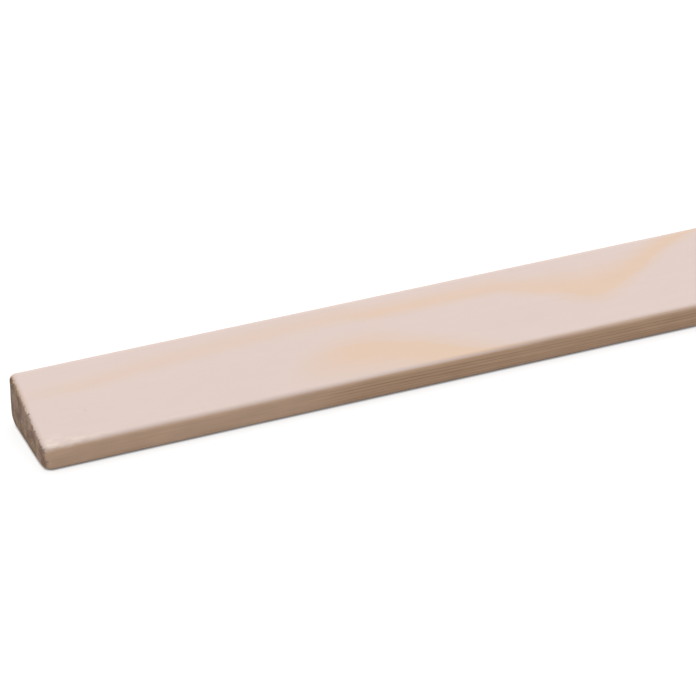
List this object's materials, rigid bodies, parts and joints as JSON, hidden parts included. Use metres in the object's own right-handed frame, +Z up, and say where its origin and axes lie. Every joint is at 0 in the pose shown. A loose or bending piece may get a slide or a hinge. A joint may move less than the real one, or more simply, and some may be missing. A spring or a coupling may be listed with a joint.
{
  "type": "glazing bead",
  "caption": "Planed softwood glazing bead: a straight strip with a flat bottom, a tall glass side, a sloping top and rounded long edges.",
  "frame": {"origin": "middle of the bottom face, which lies on the floor", "axes": "+X along the length, +Y towards the tall glass side, +Z up"},
  "size_m": [2.4, 0.028, 0.0143],
  "materials": {
    "softwood": "planed, unfinished"
  },
  "bodies": {
    "root": {"glazing_bead": "softwood"}
  },
  "joints": []
}
